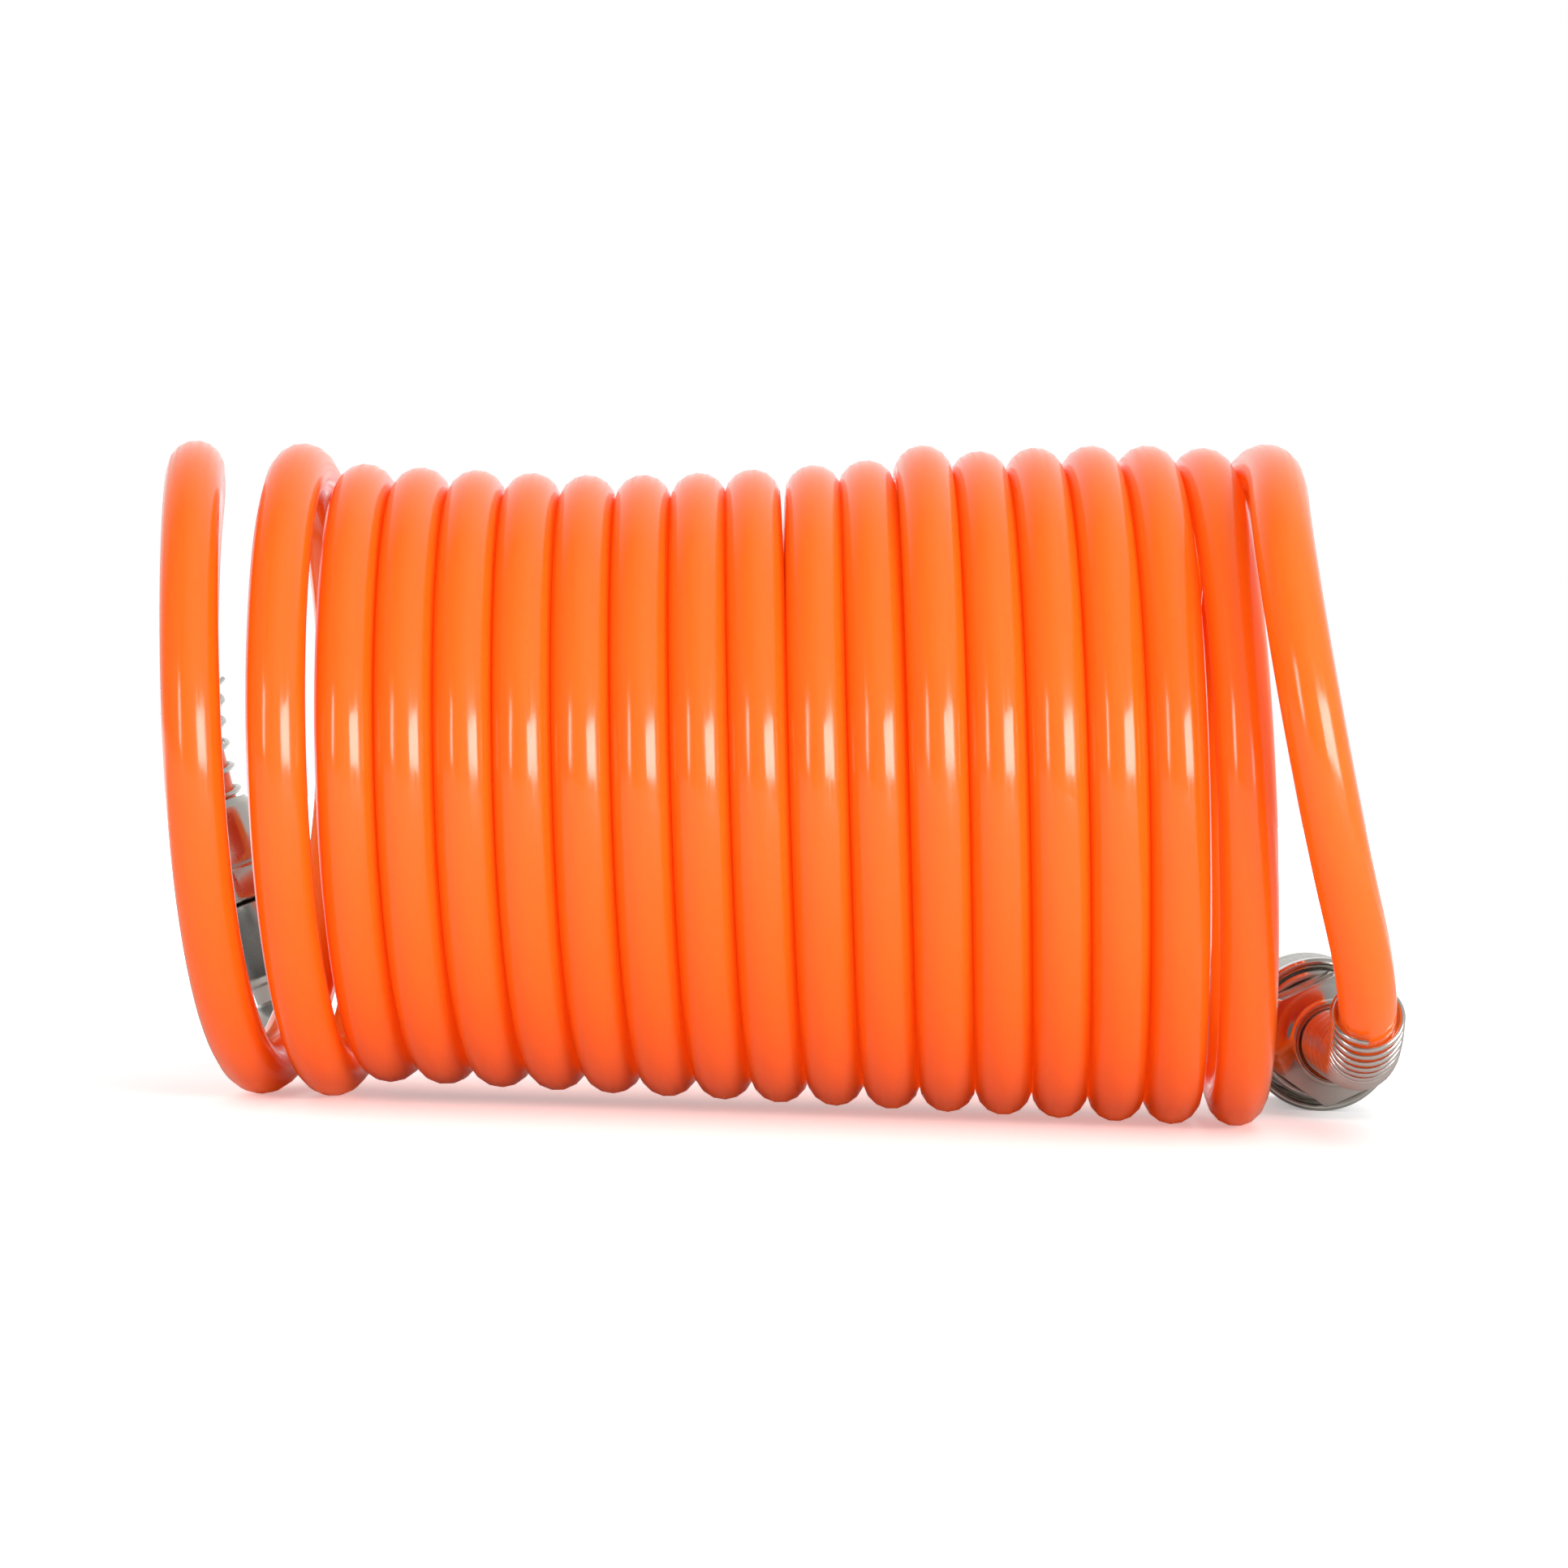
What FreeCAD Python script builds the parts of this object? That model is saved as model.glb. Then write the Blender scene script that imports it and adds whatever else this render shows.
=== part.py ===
import FreeCAD, Part
import math
import os

from FreeCAD import Vector

# Coiled air hose: a recoil hose lying on its side, with a sprung coupler at one end and a plug at the other.
# Millimetres. X runs along the coil, Y away from the viewer, Z up; the floor is z = 0.
# Places below are measured from under the coil's axis; the finished part is moved by MIDDLE, so that its
# origin is on the floor under the middle of the whole part.

MIDDLE = Vector(-3.36, 3.88, 0.0)

# Hose
HOSE_D = 8.0
HOSE_BORE = 5.0
HOSE_SIDES = 8
REST_FLAT = 0.8

# Coil: 18 loops, numbered at the front; loop n passes the front of the coil at turn n
LOOP_GAP = 0.43
FIRST_TURN = 0.75
LAST_TURN = 18.75
TURN_OVER_ORIGIN = 10.25
LOOP_R = 42.4
LEFT_R_GAIN = 2.8
LEFT_R_TURN = 3.2
LEFT_R_TURNS = 1.4
RIGHT_R_GAIN = 4.5
RIGHT_R_TURN = 6.0
RIGHT_R_TURNS = 11.5
LOOP_13_GAIN = 0.8
LOOP_13_TURN = 12.85
LOOP_13_TURNS = 0.7
LEFT_SPREAD = 3.0
LEFT_SPREAD_TURN = 2.2
END_SPREAD = 47.0
END_SPREAD_TURN = 1.0
LOOP_2_SHIFT = 0.9
LOOP_2_TURN = 1.95
LOOP_2_TURNS = 0.45
LOOP_18_SHIFT = 1.4
LOOP_18_TURN = 18.15
LOOP_18_TURNS = 0.42
LOOP_LIFT = 2.4
LIFT_TURN = 2.2
LIFT_END_TURN = 17.0
LIFT_FADE_TURNS = 13.0
LOOP_LEAN = 0.03
PITCH = HOSE_D + LOOP_GAP
LEAD_OUT = HOSE_D

# Guard springs
WIRE_D = 0.9
WIRE_SIDES = 5
GUARD_CLEARANCE = 0.5
COUPLER_GUARD_PITCH = 2.1
COUPLER_GUARD_TURNS = 27
PLUG_GUARD_PITCH = 3.6
PLUG_GUARD_TURNS = 9

# Turned edges, and how far a cutting shape runs past what it cuts
EDGE = 0.4
FINE_EDGE = 0.3
OVERCUT = 1.0

# Running, sliding and thread clearances
RUNNING = 0.05
THREAD_CLEARANCE = 0.05

# Hose joint, the same at both ends: barbed stem, seat, nut
STEM_CLEARANCE = 0.05
STEM_WALL = 0.75
STEM_L = 14.0
STEM_TAPER = 0.3
STEM_TAPER_L = 0.6
BARBS = 3
BARB_START = 1.6
BARB_PITCH = 3.2
BARB_L = 2.0
BARB_H = 0.25
SEAT_DEPTH = 11.0
SEAT_SLACK = 0.1
SEAT_LIP = 0.1
GUARD_SOCKET_L = 4.2
GUARD_SLACK = 0.1
LIP_L = 2.0
LIP_CLEARANCE = 0.3
LIP_GAP = 0.2
THREAD_WALL = 1.6
NUT_GAP = 0.4

# Plug, along its own axis
PLUG_AXIS = Vector(0.4, 0.0, -0.9165).normalize()
PLUG_NUT_FACE = Vector(-96.7, 62.0, 42.5)
NOSE_R = 5.8
NOSE_L = 9.0
TIP_L = 1.6
TIP_FACE = 0.5
LOCK_GROOVE_R = 5.0
LOCK_GROOVE_L = 3.4
GROOVE_SLOPE_L = 0.6
COLLAR_R = 7.0
COLLAR_L = 1.7
BARREL_R = 6.2
BARREL_L = 12.1
PLUG_NUT_L = 16.7
PLUG_NUT_HEX_L = 5.3
PLUG_NUT_AF = 13.5
PLUG_NUT_LIP = 0.5
PLUG_NUT_BEVEL = 0.9
PLUG_NUT_BEVEL_L = 1.4
PLUG_NUT_FLARE = 0.4
PLUG_NUT_NECK_L = 1.0

# Coupler: nut and adapter
COUPLER_X = 86.5
COUPLER_NUT_Y = 12.0
HEX_TURN_DEG = 33.0
COLLAR_WALL = 1.3
NUT_COLLAR_L = 5.0
NUT_L = 13.0
NUT_AF = 18.0
ADAPTER_HEX_L = 7.0
ADAPTER_AF = 18.0
ADAPTER_SPIGOT_L = 7.6
ADAPTER_WALL = 1.7
ADAPTER_FLOOR = 1.1
SEAL_T = 0.8

# Coupler: socket body, from the plug that it takes outwards
SOCKET_CLEARANCE = 0.1
SOCKET_LEAD = 0.2
MOUTH_CLEARANCE = 0.2
MOUTH_STOP_GAP = 0.15
MOUTH_L = 6.35
MOUTH_WALL = 1.4
THREAD_END_WALL = 1.25
BODY_SHOULDER_L = 2.0
HEAD_ROOM = 3.5
CHAMBER_STEP = 0.6
CHAMBER_GAP = 0.2
SEAT_WALL = 1.8
SEAL_SETBACK = 3.3
O_RING_W = 2.4
O_RING_DEPTH = 1.3
O_RING_SQUEEZE = 0.08
SOCKET_L = 5.0
BALL_RIM = 0.25
BALL_FREE = 0.1

# Coupler: sleeve, its spring and its ring
SPRING_CLEARANCE = 0.4
SLEEVE_WIRE_D = 1.3
SPRING_ROOM = 0.45
SLEEVE_WALL = 1.45
SLEEVE_TRAVEL = 4.0
SLEEVE_BACK = 0.8
GRIP_START = 5.0
GRIP_GROOVES = 6
GRIP_PITCH = 2.6
GRIP_DEPTH = 0.5
FRONT_TAPER = 0.8
FRONT_TAPER_L = 5.0
FRONT_EDGE = 0.8
FRONT_EDGE_L = 1.0
LAND_L = 5.0
WASHER_T = 0.9
WASHER_CLEARANCE = 0.15
RING_T = 1.2
RING_OVERLAP = 0.75
RING_GROOVE_DEPTH = 0.6
RING_SLACK = 0.1
RING_GAP_DEG = 40.0
LIP_OVER_RING = 1.0

# Coupler: valve
POPPET_R = 4.0
POPPET_WALL = 1.0
POPPET_CLEARANCE = 0.2
POPPET_REACH = 5.6
HEAD_CLEARANCE = 0.2
HEAD_T = 2.0
BOSS_R = 2.8
BOSS_L = 2.4
WINDOW_W = 2.6
WINDOW_L = 2.2
WINDOW_START = 0.6
VALVE_SEAL_T = 0.85
VALVE_SEAL_STEP = 0.2
VALVE_WIRE_D = 1.2
VALVE_SPRING_CLEARANCE = 0.3

# Radii that follow from the sizes above
STEM_R = HOSE_BORE / 2.0 - STEM_CLEARANCE
FLOW_R = STEM_R - STEM_WALL
HOSE_SEAT_R = HOSE_D / 2.0 + SEAT_LIP
THREAD_R = HOSE_D / 2.0 + THREAD_WALL
GUARD_SOCKET_R = HOSE_D / 2.0 + GUARD_CLEARANCE + WIRE_D + GUARD_SLACK
SOCKET_R = NOSE_R + SOCKET_CLEARANCE
SOCKET_LEAD_R = SOCKET_R + SOCKET_LEAD
O_RING_GROOVE_R = SOCKET_R + O_RING_DEPTH
MOUTH_R = COLLAR_R + MOUTH_CLEARANCE
BODY_R = MOUTH_R + MOUTH_WALL
LAND_R = BODY_R + RUNNING
BALL_R = (BODY_R - LOCK_GROOVE_R) / 2.0 - RUNNING
BALL_CENTRE_R = BODY_R - RUNNING - BALL_R
BALL_LIFT = NOSE_R - LOCK_GROOVE_R + BALL_FREE
LIFT_R = LAND_R + BALL_LIFT
SPRING_R = BODY_R + SPRING_CLEARANCE
SHOULDER_R = SPRING_R + SLEEVE_WIRE_D
SKIRT_R = SHOULDER_R + SPRING_ROOM
SLEEVE_R = SKIRT_R + SLEEVE_WALL
RING_GROOVE_R = BODY_R - RING_GROOVE_DEPTH
RING_R = LIFT_R + RING_OVERLAP
BODY_THREAD_R = BODY_R - THREAD_END_WALL
SPIGOT_R = BODY_THREAD_R - THREAD_CLEARANCE
CHAMBER_R = SPIGOT_R - ADAPTER_WALL
BODY_CHAMBER_R = CHAMBER_R + CHAMBER_STEP
HEAD_R = CHAMBER_R - HEAD_CLEARANCE
SEAT_HOLE_R = POPPET_R + POPPET_CLEARANCE

# Stations of the hose joint, along local Z from the nut's open face
LIP_END = GUARD_SOCKET_L + LIP_L
THREAD_START = LIP_END + LIP_GAP

# Stations of the coupler, along local Z from its nut's open face
HEX_START = NUT_L + NUT_GAP
HEX_END = HEX_START + ADAPTER_HEX_L
BODY_START = HEX_END + SEAL_T
SHOULDER_END = BODY_START + BODY_SHOULDER_L
CHAMBER_START = HEX_END + ADAPTER_FLOOR
SPIGOT_END = HEX_END + ADAPTER_SPIGOT_L
CHAMBER_END = SPIGOT_END + HEAD_ROOM
SEAT_END = CHAMBER_END + SEAT_WALL
O_RING_START = SEAT_END + SEAL_SETBACK
O_RING_END = O_RING_START + O_RING_W
SOCKET_END = O_RING_END + SOCKET_L
BALL_AT = SOCKET_END + BALL_R + BALL_RIM
MOUTH_START = BALL_AT + LOCK_GROOVE_L / 2.0 + MOUTH_STOP_GAP
BODY_END = MOUTH_START + MOUTH_L
RING_START = BODY_END - LIP_OVER_RING - RING_T
SLEEVE_START = BODY_START + SLEEVE_BACK
SLEEVE_END = RING_START - RING_SLACK
LAND_START = BALL_AT - LAND_L
WASHER_START = LAND_START - RUNNING - WASHER_T
VALVE_SEAL_START = CHAMBER_END - RUNNING - VALVE_SEAL_T
HEAD_START = VALVE_SEAL_START - HEAD_T

# Stations of the plug, along local Z from its nut's open face
BARREL_START = PLUG_NUT_L + NUT_GAP
COLLAR_START = BARREL_START + BARREL_L
GROOVE_START = COLLAR_START + COLLAR_L
NOSE_START = GROOVE_START + LOCK_GROOVE_L
PLUG_TIP = NOSE_START + NOSE_L


# Small helpers
def ramp(t):
    t = min(max(t, 0.0), 1.0)
    return t * t * (3.0 - 2.0 * t)


def swell(t, middle, reach):
    """Rises from 0 to 1 at middle and falls again, within reach on both sides."""
    return ramp(1.0 - abs(t - middle) / reach)


def turned(points):
    """A solid turned about the local Z axis from a closed profile of (along, radius) points."""
    outline = Part.makePolygon([Vector(r, 0, a) for a, r in points + points[:1]])
    return Part.Face(outline).revolve(Vector(0, 0, 0), Vector(0, 0, 1), 360)


def tube(start, end, inner, outer):
    return turned([(start, inner), (start, outer), (end, outer), (end, inner)])


def rod(start, end, radius):
    return Part.makeCylinder(radius, end - start, Vector(0, 0, start))


def hexagon(start, end, across_flats):
    """A hexagon prism along local Z, with both ends turned to a 30 degree chamfer."""
    corner = across_flats / math.sqrt(3.0)
    points = []
    for k in range(7):
        angle = math.radians(HEX_TURN_DEG + 60 * (k % 6))
        points.append(Vector(corner * math.cos(angle), corner * math.sin(angle), start))
    prism = Part.Face(Part.makePolygon(points)).extrude(Vector(0, 0, end - start))
    face_r = across_flats / 2.0 - FINE_EDGE
    drop = (corner - face_r) * math.tan(math.radians(30))
    blank = turned(
        [
            (start, 0),
            (start, face_r),
            (start + drop, corner),
            (end - drop, corner),
            (end, face_r),
            (end, 0),
        ]
    )
    return prism.common(blank)


def on_axis(shape, origin, axis):
    """The same shape with its local Z laid along axis, from origin."""
    moved = shape.copy()
    moved.Placement = FreeCAD.Placement(origin, FreeCAD.Rotation(Vector(0, 0, 1), axis))
    return moved


# Curves: a smooth path as pairs of tangent arcs, and a hand-laid route with rounded corners
def arc_from(start, tangent, end):
    """The arc that leaves start along tangent and ends at end, as its middle point."""
    chord = end - start
    normal = tangent.cross(chord).cross(tangent).normalize()
    half = tangent.getAngle(chord)
    radius = chord.Length / (2.0 * math.sin(half))
    centre = start + normal * radius
    return centre + ((start + end) * 0.5 - centre).normalize() * radius


def biarc(start, leaving, end, arriving):
    """Two arcs that join start to end, each tangent to the path and to the other."""
    chord = end - start
    both = leaving + arriving
    a = 2.0 * (1.0 - leaving.dot(arriving))
    b = 2.0 * chord.dot(both)
    reach = (-b + math.sqrt(b * b + 4.0 * a * chord.dot(chord))) / (2.0 * a)
    meet = (start + leaving * reach + end - arriving * reach) * 0.5
    return [
        Part.Arc(start, arc_from(start, leaving, meet), meet).toShape(),
        Part.Arc(meet, arc_from(end, arriving * -1, meet), end).toShape(),
    ]


def slope_of(path, t, step=1e-4):
    return (path(t + step) - path(t - step)).normalize()


def wound(path, first, last, per_turn):
    """Edges of biarcs along path, from turn first to turn last."""
    count = int(round((last - first) * per_turn))
    turns = [first + (last - first) * k / count for k in range(count + 1)]
    edges = []
    for t0, t1 in zip(turns, turns[1:]):
        edges += biarc(path(t0), slope_of(path, t0), path(t1), slope_of(path, t1))
    return edges


def section(centre, along, radius, sides):
    """A regular polygon inside a circle of that radius, square to along."""
    across = Vector(0, 0, 1) if abs(along.z) < 0.7 else Vector(1, 0, 0)
    across = (across - along * across.dot(along)).normalize()
    other = along.cross(across)
    corners = []
    for k in range(sides + 1):
        angle = 2.0 * math.pi * (k % sides + 0.5) / sides
        corners.append(centre + across * (radius * math.cos(angle)) + other * (radius * math.sin(angle)))
    return Part.makePolygon(corners)


def least_gap(path, first, last, thickness, samples=120):
    """The least gap between one turn and the next, measured on points of the centre line."""
    points = [path(first + k / samples) for k in range(int((last - first) * samples) + 1)]
    near = [
        (points[i] - points[j]).Length
        for i in range(len(points))
        for j in range(i + int(0.7 * samples), min(i + int(1.3 * samples), len(points)), 2)
    ]
    return min(near) - thickness


class Route:
    """Straight runs joined by tangent arcs; each arc is as large as its two runs allow."""

    def __init__(self, points):
        self.edges = []
        self.pieces = []
        self.radii = []
        here = points[0]
        for before, corner, after in zip(points, points[1:], points[2:]):
            into = (corner - before).normalize()
            out = (after - corner).normalize()
            half = into.getAngle(out) / 2.0
            trim = 0.45 * min((corner - before).Length, (after - corner).Length)
            radius = trim / math.tan(half)
            start, end = corner - into * trim, corner + out * trim
            centre = corner + (out - into).normalize() * (radius / math.cos(half))
            middle = centre + (corner - centre).normalize() * radius
            self.add_run(here, start)
            self.edges.append(Part.Arc(start, middle, end).toShape())
            self.pieces.append(("arc", start, centre, radius, 2.0 * half))
            self.radii.append(radius)
            here = end
        self.add_run(here, points[-1])
        self.length = sum(edge.Length for edge in self.edges)

    def add_run(self, start, end):
        self.edges.append(Part.makeLine(start, end))
        self.pieces.append(("run", start, end))

    def at(self, distance):
        """The point at that distance along the route, and the direction there."""
        for edge, piece in zip(self.edges, self.pieces):
            if distance <= edge.Length or edge is self.edges[-1]:
                break
            distance -= edge.Length
        if piece[0] == "run":
            along = (piece[2] - piece[1]).normalize()
            return piece[1] + along * distance, along
        _, start, centre, radius, _ = piece
        spoke = start - centre
        mid = edge.valueAt(edge.FirstParameter + (edge.LastParameter - edge.FirstParameter) / 2.0)
        along = spoke.cross(mid - centre).cross(spoke).normalize()
        angle = distance / radius
        point = centre + spoke * math.cos(angle) + along * (radius * math.sin(angle))
        return point, along * math.cos(angle) - spoke * (math.sin(angle) / radius)


# The coil's centre line
def loop_radius(n):
    wider_left = LEFT_R_GAIN * ramp((LEFT_R_TURN - n) / LEFT_R_TURNS)
    wider_right = RIGHT_R_GAIN * ramp((n - RIGHT_R_TURN) / RIGHT_R_TURNS)
    proud = LOOP_13_GAIN * swell(n, LOOP_13_TURN, LOOP_13_TURNS)
    return LOOP_R + wider_left + wider_right + proud


def loop_lift(n):
    fade = min(max((LIFT_END_TURN - n) / LIFT_FADE_TURNS, 0.0), 1.0)
    return LOOP_LIFT * ramp(n - LIFT_TURN) * fade


def coil_path(n):
    angle = 2.0 * math.pi * n
    radius = loop_radius(n)
    height = radius + HOSE_D / 2.0 - REST_FLAT + loop_lift(n)
    x = PITCH * (n - TURN_OVER_ORIGIN) + LOOP_LEAN * radius * math.sin(angle)
    x -= LEFT_SPREAD * max(LEFT_SPREAD_TURN - n, 0.0) ** 2
    x -= END_SPREAD * max(END_SPREAD_TURN - n, 0.0) ** 2
    x -= LOOP_2_SHIFT * swell(n, LOOP_2_TURN, LOOP_2_TURNS)
    x += LOOP_18_SHIFT * swell(n, LOOP_18_TURN, LOOP_18_TURNS)
    return Vector(x, -radius * math.cos(angle), height - radius * math.sin(angle))


def hose_coil():
    """The loops as one unbroken tube, with a straight lead-out at both ends; returns it and its end faces."""
    first, last = coil_path(FIRST_TURN), coil_path(LAST_TURN)
    back = slope_of(coil_path, FIRST_TURN) * -1
    on = slope_of(coil_path, LAST_TURN)
    start, end = first + back * LEAD_OUT, last + on * LEAD_OUT
    edges = [Part.makeLine(start, first)]
    edges += wound(coil_path, FIRST_TURN, LAST_TURN, 2)
    edges += [Part.makeLine(last, end)]
    spine = Part.Wire(edges)
    outline = section(start, back * -1, HOSE_D / 2.0, HOSE_SIDES)
    loops = spine.makePipeShell([outline], True, False)
    ends = []
    for point in (start, end):
        ends.append(min(loops.Faces, key=lambda face: (face.CenterOfMass - point).Length).OuterWire)
    area = Part.Face(outline).Area
    print("coil: length %.0f mm, volume %.0f mm3" % (spine.Length, loops.Volume))
    print("coil: section times length %.0f mm3" % (area * spine.Length))
    print("coil: least gap to itself %.2f mm" % least_gap(coil_path, FIRST_TURN, LAST_TURN, HOSE_D))
    floor = Part.makeBox(400, 400, 20, Vector(-200, -200, -20))
    return loops.cut(floor), ends, (start, back), (end, on), spine.Length


# The two free stretches, laid by hand
def coupler_route(start, along):
    return Route(
        [
            start,
            start + along * 18.0,
            Vector(70.2, -46.2, 87.1),
            Vector(72.6, -58.1, 68.0),
            Vector(78.1, -58.1, 43.0),
            Vector(84.5, -46.8, 23.7),
            Vector(86.2, -27.4, 12.6),
            Vector(COUPLER_X, -4.6, SLEEVE_R),
            Vector(COUPLER_X, COUPLER_NUT_Y + SEAT_DEPTH - SEAT_SLACK, SLEEVE_R),
        ]
    )


def plug_route(start, along):
    return Route(
        [
            start,
            start + along * 18.9,
            Vector(-98.0, 44.5, 85.7),
            Vector(-99.9, 57.0, 70.5),
            PLUG_NUT_FACE - PLUG_AXIS * 8.6,
            PLUG_NUT_FACE + PLUG_AXIS * (SEAT_DEPTH - SEAT_SLACK),
        ]
    )


def hose_tail(name, route, outline):
    """A free stretch of hose on its route, bored where the stem goes in."""
    stretch = Part.Wire(route.edges).makePipeShell([outline], True, False)
    area = Part.Face(outline).Area
    print("%s: length %.0f mm, volume %.0f mm3" % (name, route.length, stretch.Volume))
    print("%s: section times length %.0f mm3" % (name, area * route.length))
    print("%s: bend radii %s mm" % (name, [round(radius, 1) for radius in route.radii]))
    end, along = route.at(route.length)
    bore = on_axis(rod(-STEM_L - OVERCUT, OVERCUT, HOSE_BORE / 2.0), end, along)
    return stretch.cut(bore)


def guard_spring(name, route, pitch, turns):
    """A wire guard round the hose, from inside the nut back along the route."""
    radius = HOSE_D / 2.0 + GUARD_CLEARANCE + WIRE_D / 2.0
    nut_end = route.length - (SEAT_DEPTH - SEAT_SLACK) + GUARD_SOCKET_L - WIRE_D
    side = Vector(1, 0, 0)

    def path(n):
        centre, along = route.at(nut_end - pitch * (turns - n))
        across = (side - along * side.dot(along)).normalize()
        angle = 2.0 * math.pi * n
        return centre + across * (radius * math.cos(angle)) + along.cross(across) * (radius * math.sin(angle))

    spine = Part.Wire(wound(path, 0, turns, 2))
    outline = section(path(0), slope_of(path, 0), WIRE_D / 2.0, WIRE_SIDES)
    print("%s: least gap to itself %.2f mm" % (name, least_gap(path, 0, turns, WIRE_D)))
    return spine.makePipeShell([outline], True, False)


# The hose joint's own shapes
def nut_hollow(end):
    """What is cut from a nut: the guard's socket, the hose hole and the threaded bore."""
    socket = rod(-OVERCUT, GUARD_SOCKET_L, GUARD_SOCKET_R)
    hole = rod(0, LIP_END + OVERCUT, HOSE_D / 2.0 + LIP_CLEARANCE)
    thread = rod(LIP_END, end + OVERCUT, THREAD_R + THREAD_CLEARANCE)
    return socket.fuse([hole, thread])


def hose_stem(base):
    """The threaded spigot with its hose seat and its barbed stem, from the stem's tip to base."""
    tip = SEAT_DEPTH - STEM_L
    profile = [(tip, FLOW_R), (tip, STEM_R - STEM_TAPER), (tip + STEM_TAPER_L, STEM_R)]
    for k in range(BARBS):
        barb = tip + BARB_START + BARB_PITCH * k
        profile += [(barb, STEM_R), (barb + BARB_L, STEM_R + BARB_H), (barb + BARB_L, STEM_R)]
    profile += [
        (SEAT_DEPTH, STEM_R),
        (SEAT_DEPTH, HOSE_SEAT_R),
        (THREAD_START, HOSE_SEAT_R),
        (THREAD_START, THREAD_R - EDGE),
        (THREAD_START + EDGE, THREAD_R),
        (base, THREAD_R),
        (base, FLOW_R),
    ]
    return turned(profile)


# The coupler
def coupler_nut():
    collar_r = GUARD_SOCKET_R + COLLAR_WALL
    collar = turned(
        [
            (0, 0),
            (0, collar_r - EDGE),
            (EDGE, collar_r),
            (NUT_COLLAR_L, collar_r),
            (NUT_COLLAR_L, 0),
        ]
    )
    return collar.fuse(hexagon(NUT_COLLAR_L, NUT_L, NUT_AF)).removeSplitter().cut(nut_hollow(NUT_L))


def coupler_adapter():
    """Hose stem, hexagon and the spigot that screws into the body and guides the valve."""
    spigot = turned(
        [
            (HEX_END, FLOW_R),
            (HEX_END, SPIGOT_R),
            (SPIGOT_END - EDGE, SPIGOT_R),
            (SPIGOT_END, SPIGOT_R - EDGE),
            (SPIGOT_END, CHAMBER_R),
            (CHAMBER_START, CHAMBER_R),
            (CHAMBER_START, FLOW_R),
        ]
    )
    flow = rod(HEX_START - OVERCUT, HEX_END + OVERCUT, FLOW_R)
    nut_stop = hexagon(HEX_START, HEX_END, ADAPTER_AF).cut(flow)
    return hose_stem(HEX_START).fuse([nut_stop, spigot]).removeSplitter()


def coupler_body():
    """The turned socket, with its ring groove, seal groove, valve seat and ball holes."""
    body = turned(
        [
            (BODY_START, BODY_THREAD_R),
            (BODY_START, SHOULDER_R - EDGE),
            (BODY_START + EDGE, SHOULDER_R),
            (SHOULDER_END, SHOULDER_R),
            (SHOULDER_END, BODY_R),
            (RING_START, BODY_R),
            (RING_START, RING_GROOVE_R),
            (RING_START + RING_T, RING_GROOVE_R),
            (RING_START + RING_T, BODY_R),
            (BODY_END - EDGE, BODY_R),
            (BODY_END, BODY_R - EDGE),
            (BODY_END, MOUTH_R + FINE_EDGE),
            (BODY_END - FINE_EDGE, MOUTH_R),
            (MOUTH_START, MOUTH_R),
            (MOUTH_START, SOCKET_LEAD_R),
            (SOCKET_END, SOCKET_LEAD_R),
            (SOCKET_END, SOCKET_R),
            (O_RING_END, SOCKET_R),
            (O_RING_END, O_RING_GROOVE_R),
            (O_RING_START, O_RING_GROOVE_R),
            (O_RING_START, SOCKET_LEAD_R),
            (SEAT_END, SOCKET_LEAD_R),
            (SEAT_END, SEAT_HOLE_R),
            (CHAMBER_END, SEAT_HOLE_R),
            (CHAMBER_END, BODY_CHAMBER_R),
            (SPIGOT_END + CHAMBER_GAP, BODY_CHAMBER_R),
            (SPIGOT_END + CHAMBER_GAP, BODY_THREAD_R),
        ]
    )
    hole_start = BALL_CENTRE_R - 2.0 * BALL_R
    hole = Part.makeCylinder(BALL_R + RUNNING, 4.0 * BALL_R, Vector(hole_start, 0, BALL_AT), Vector(1, 0, 0))
    holes = []
    for k in range(4):
        turned_hole = hole.copy()
        turned_hole.rotate(Vector(0, 0, 0), Vector(0, 0, 1), 90 * k)
        holes.append(turned_hole)
    return body.cut(holes)


def release_sleeve():
    """The outer sleeve: open skirt at the back, land over the balls, ramp and lip at the front."""
    inner = [
        (SLEEVE_END, LIFT_R),
        (BALL_AT + SLEEVE_TRAVEL, LIFT_R),
        (BALL_AT, LAND_R),
        (LAND_START, LAND_R),
        (LAND_START, SKIRT_R),
        (SLEEVE_START, SKIRT_R),
    ]
    outer = [
        (SLEEVE_START, SLEEVE_R - EDGE),
        (SLEEVE_START + EDGE, SLEEVE_R),
    ]
    for k in range(GRIP_GROOVES):
        groove = SLEEVE_START + GRIP_START + GRIP_PITCH * k
        outer += [
            (groove, SLEEVE_R),
            (groove + GRIP_DEPTH, SLEEVE_R - GRIP_DEPTH),
            (groove + 2.0 * GRIP_DEPTH, SLEEVE_R),
        ]
    outer += [
        (SLEEVE_END - FRONT_TAPER_L, SLEEVE_R),
        (SLEEVE_END - FRONT_EDGE_L, SLEEVE_R - FRONT_TAPER),
        (SLEEVE_END, SLEEVE_R - FRONT_TAPER - FRONT_EDGE),
    ]
    return turned(inner + outer)


def retaining_ring():
    ring = tube(RING_START + RUNNING, RING_START + RING_T - RUNNING, RING_GROOVE_R + RUNNING, RING_R)
    place = Vector(0, 0, RING_START - OVERCUT)
    gap = Part.makeCylinder(RING_R + OVERCUT, RING_T + 2.0 * OVERCUT, place, Vector(0, 0, 1), RING_GAP_DEG)
    return ring.cut(gap)


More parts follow.
